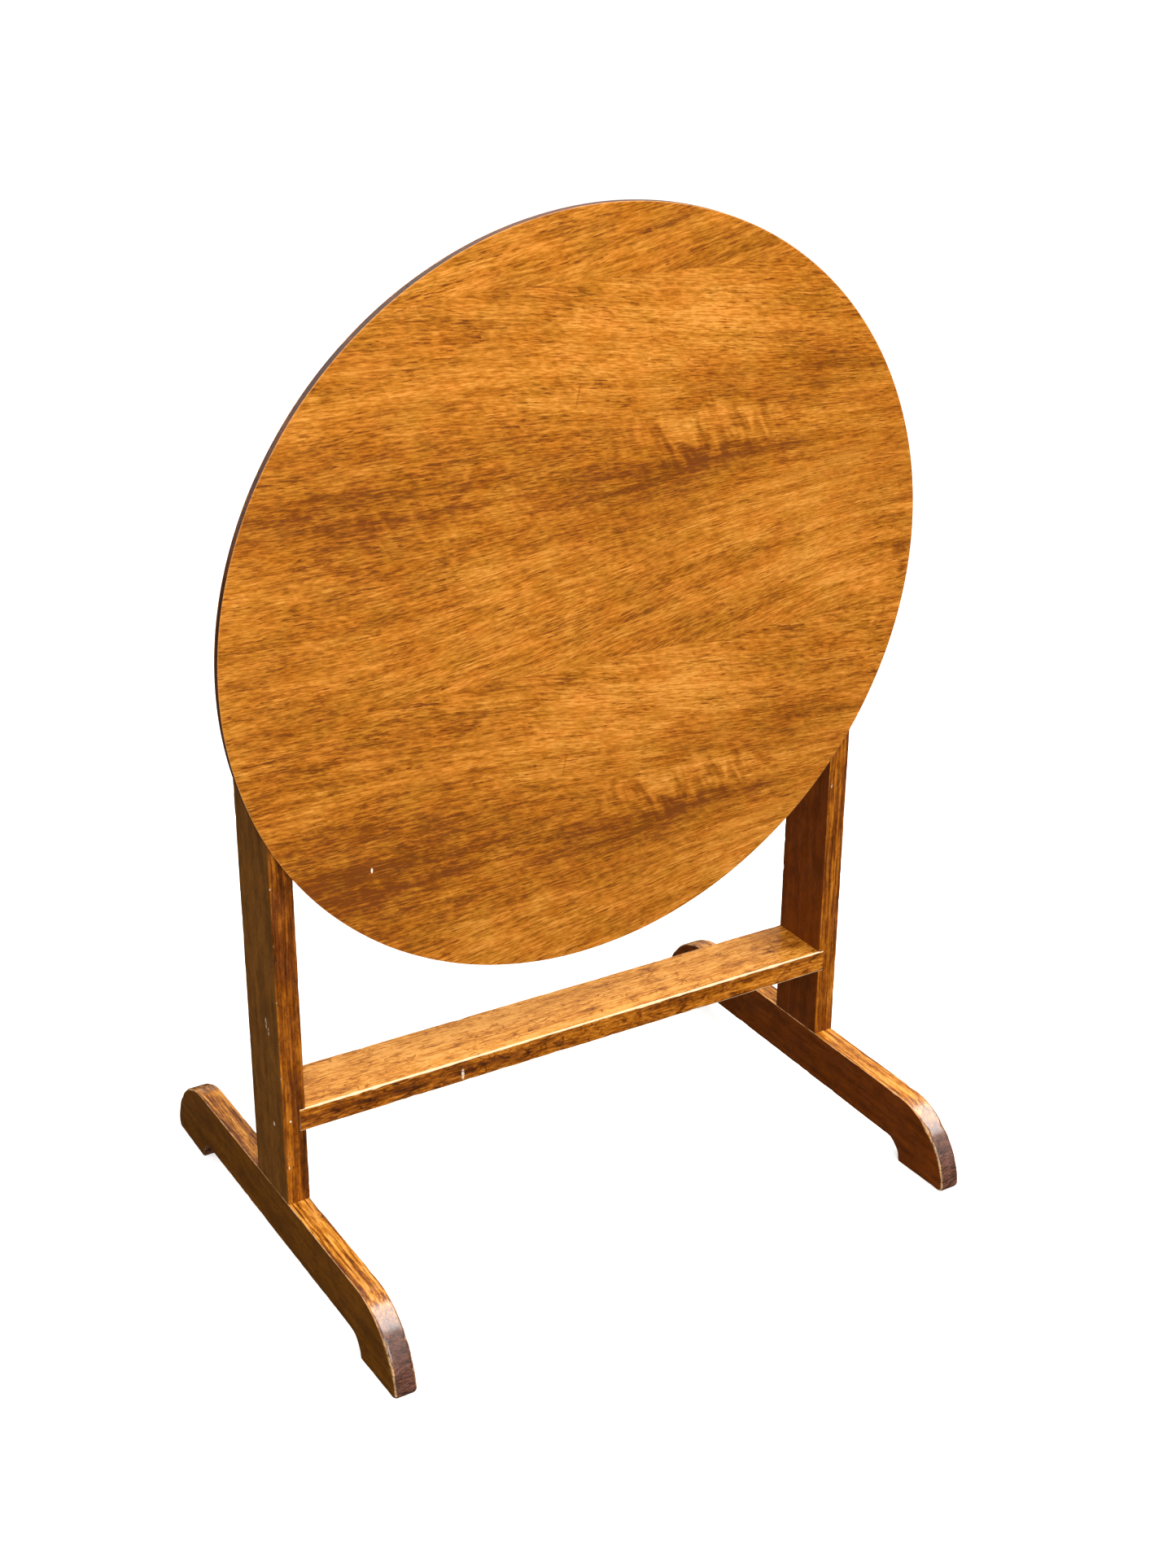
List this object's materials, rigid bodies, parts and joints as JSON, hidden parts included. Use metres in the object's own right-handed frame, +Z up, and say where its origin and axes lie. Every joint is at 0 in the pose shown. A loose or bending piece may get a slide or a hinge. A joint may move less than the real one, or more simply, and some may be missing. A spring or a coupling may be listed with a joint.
{
  "type": "tilt top table",
  "caption": "Round tilt top table: a disc of thin veneered board pivots between two uprights on arched feet, shown tipped on edge for storage, with a turn button under it.",
  "frame": {"origin": "on the floor, midway between the two uprights and at the middle of their depth", "axes": "+Z is up, +X runs along the rails to the right as seen from the front, and the front, where the stored top shows its face, is -Y"},
  "size_m": [0.7499, 0.529, 1.0159],
  "materials": {
    "frame_wood": "glossy varnish over stained hardwood",
    "veneer_wood": "glossy varnish over figured veneer",
    "lipping_wood": "varnished",
    "panel_wood": "thin varnish",
    "bearer_wood": "satin varnish",
    "button_wood": "varnished",
    "dowel_wood": "bare",
    "steel": "dull",
    "brass": "dull"
  },
  "bodies": {
    "stand": {"foot_left": "frame_wood", "upright_left": "frame_wood", "foot_right": "frame_wood", "upright_right": "frame_wood", "lower_rail": "frame_wood", "upper_rail": "frame_wood", "foot_dowels_left": "dowel_wood", "lower_rail_dowels_left": "dowel_wood", "upper_rail_dowels_left": "dowel_wood", "pivot_bolt_left": "steel", "pivot_washer_left": "brass", "pivot_inner_washer_left": "brass", "pivot_nut_left": "steel", "foot_dowels_right": "dowel_wood", "lower_rail_dowels_right": "dowel_wood", "upper_rail_dowels_right": "dowel_wood", "pivot_bolt_right": "steel", "pivot_washer_right": "brass", "pivot_inner_washer_right": "brass", "pivot_nut_right": "steel"},
    "top": {"bearer_left": "bearer_wood", "bearer_screws_left": "steel", "bearer_right": "bearer_wood", "bearer_screws_right": "steel", "back_panel": "panel_wood", "top_core": "panel_wood", "face_veneer": "veneer_wood", "edge_lipping_a": "lipping_wood", "edge_lipping_b": "lipping_wood", "latch_block": "bearer_wood", "latch_block_screws": "steel", "button_washer": "brass", "button_screw": "brass"},
    "turn_button": {"turn_button": "button_wood"}
  },
  "joints": [
    {"name": "top_tilt", "type": "hinge", "parent": "stand", "child": "top", "pos_m": [0, 0, 0.6448], "axis": [1, 0, 0], "range_deg": [-93.4, 0]},
    {"name": "catch_turn", "type": "hinge", "parent": "top", "child": "turn_button", "pos_m": [0, 0.01688, 0.6979], "axis": [0, -0.9982, -0.0593], "range_deg": [0, 90]}
  ]
}
